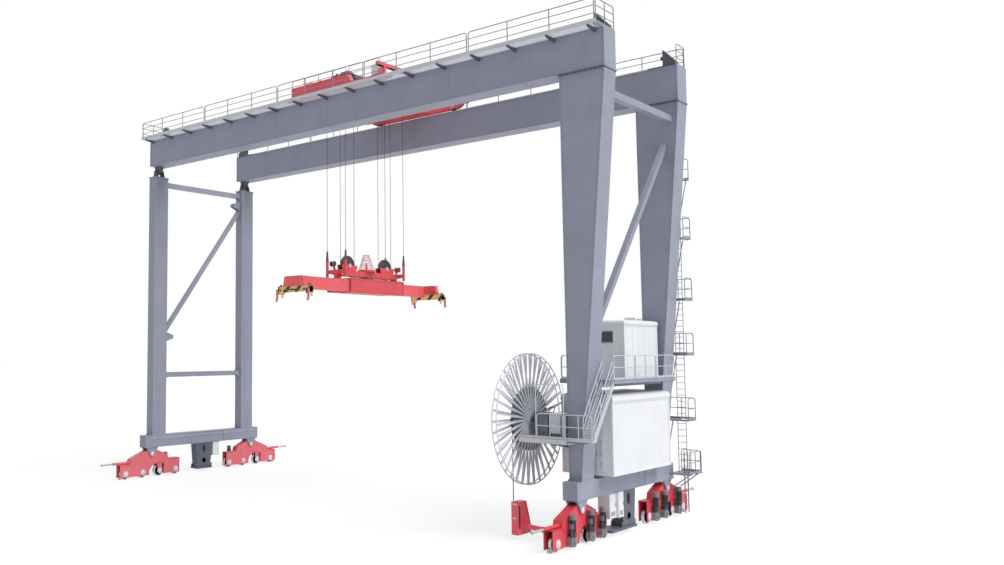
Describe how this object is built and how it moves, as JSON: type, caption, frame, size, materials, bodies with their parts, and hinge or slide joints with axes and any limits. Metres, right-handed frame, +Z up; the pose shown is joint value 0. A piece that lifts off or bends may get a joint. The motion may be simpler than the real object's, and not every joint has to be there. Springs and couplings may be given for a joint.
{
  "type": "rail mounted stacking crane",
  "caption": "Rail mounted portal crane on bogies with a girder trolley, rope hoist, telescopic box spreader, cable reel, houses and access stairs.",
  "frame": {"origin": "midway between the two runway rails and midway between the girders, at the foot of the wheel flanges", "axes": "+X along the girders towards the side with the houses and the cable reel, +Y along the runway away from the cable reel, +Z up"},
  "size_m": [33.48, 16.7, 24.57],
  "materials": {
    "structure": "satin",
    "red_steel": "satin",
    "white_panel": "satin",
    "galvanised": "matt",
    "wheel_steel": "worn",
    "motor_grey": "satin",
    "reel_grey": "satin",
    "cable_black": "matt",
    "rope_steel": "greased",
    "stripes": "satin",
    "cabinet_grey": "satin"
  },
  "bodies": {
    "gantry": {"girder_near": "structure", "girder_far": "structure", "trolley_tracks": "wheel_steel", "end_stops": "motor_grey", "girder_walkways": "structure", "girder_railings": "galvanised", "leg_left_near": "structure", "leg_left_far": "structure", "leg_right_near": "structure", "leg_right_far": "structure", "leg_bearings": "structure", "sill_left": "structure", "sill_right": "structure", "sill_pedestals": "structure", "left_ties": "structure", "right_ties": "structure", "drive_house": "white_panel", "control_house": "white_panel", "house_platform": "structure", "platform_railings": "galvanised", "reel_platform": "structure", "platform_stair": "galvanised", "reel_drive": "cabinet_grey", "sill_cabinets": "white_panel", "access_tower": "galvanised"},
    "bogie_left_near": {"bogie_left_near": "red_steel", "wheels_left_near": "wheel_steel", "motors_left_near": "motor_grey"},
    "bogie_left_far": {"bogie_left_far": "red_steel", "wheels_left_far": "wheel_steel", "motors_left_far": "motor_grey"},
    "bogie_right_near": {"bogie_right_near": "red_steel", "wheels_right_near": "wheel_steel", "motors_right_near": "motor_grey", "cable_guide": "red_steel"},
    "bogie_right_far": {"bogie_right_far": "red_steel", "wheels_right_far": "wheel_steel", "motors_right_far": "motor_grey"},
    "reel": {"cable_reel": "reel_grey", "reel_cable_pack": "cable_black"},
    "trolley": {"trolley_frame": "red_steel", "trolley_wheels": "wheel_steel", "trolley_machinery": "motor_grey"},
    "spreader": {"headblock": "red_steel", "headblock_sheaves": "wheel_steel", "cable_basket": "cabinet_grey", "spreader_frame": "red_steel", "hoist_ropes": "rope_steel"},
    "arm_near": {"spreader_arm_near": "stripes"},
    "flippers_near": {"flippers_near": "stripes"},
    "arm_far": {"spreader_arm_far": "stripes"},
    "flippers_far": {"flippers_far": "stripes"}
  },
  "joints": [
    {"name": "trolley_travel", "type": "slide", "parent": "gantry", "child": "trolley", "axis": [1, 0, 0], "range_m": [-11, 11]},
    {"name": "hoist", "type": "slide", "parent": "trolley", "child": "spreader", "axis": [0, 0, 1], "range_m": [-8.95, 7.5], "deforming": ["hoist_ropes"]},
    {"name": "telescope_near", "type": "slide", "parent": "spreader", "child": "arm_near", "axis": [0, -1, 0], "range_m": [-3.03, 0.76]},
    {"name": "telescope_far", "type": "slide", "parent": "spreader", "child": "arm_far", "axis": [0, 1, 0], "range_m": [-3.03, 0.76]},
    {"name": "flippers_near_turn", "type": "hinge", "parent": "arm_near", "child": "flippers_near", "pos_m": [-0.24, -6.321, 11.84], "axis": [-1, 0, 0], "range_deg": [0, 165]},
    {"name": "flippers_far_turn", "type": "hinge", "parent": "arm_far", "child": "flippers_far", "pos_m": [-0.24, 6.321, 11.84], "axis": [1, 0, 0], "range_deg": [0, 165]},
    {"name": "reel_spin", "type": "hinge", "parent": "gantry", "child": "reel", "pos_m": [13, -4.03, 5.352], "axis": [1, 0, 0], "continuous": true},
    {"name": "bogie_left_near_pivot", "type": "hinge", "parent": "gantry", "child": "bogie_left_near", "pos_m": [-15.55, -4.5, 1.56], "axis": [1, 0, 0], "range_deg": [-2, 2]},
    {"name": "bogie_left_far_pivot", "type": "hinge", "parent": "gantry", "child": "bogie_left_far", "pos_m": [-15.55, 4.5, 1.56], "axis": [1, 0, 0], "range_deg": [-2, 2]},
    {"name": "bogie_right_near_pivot", "type": "hinge", "parent": "gantry", "child": "bogie_right_near", "pos_m": [15.55, -4.5, 1.56], "axis": [1, 0, 0], "range_deg": [-2, 2]},
    {"name": "bogie_right_far_pivot", "type": "hinge", "parent": "gantry", "child": "bogie_right_far", "pos_m": [15.55, 4.5, 1.56], "axis": [1, 0, 0], "range_deg": [-2, 2]}
  ],
  "couplings": [
    {"joint": "telescope_far", "follows": "telescope_near", "ratio": 1}
  ]
}
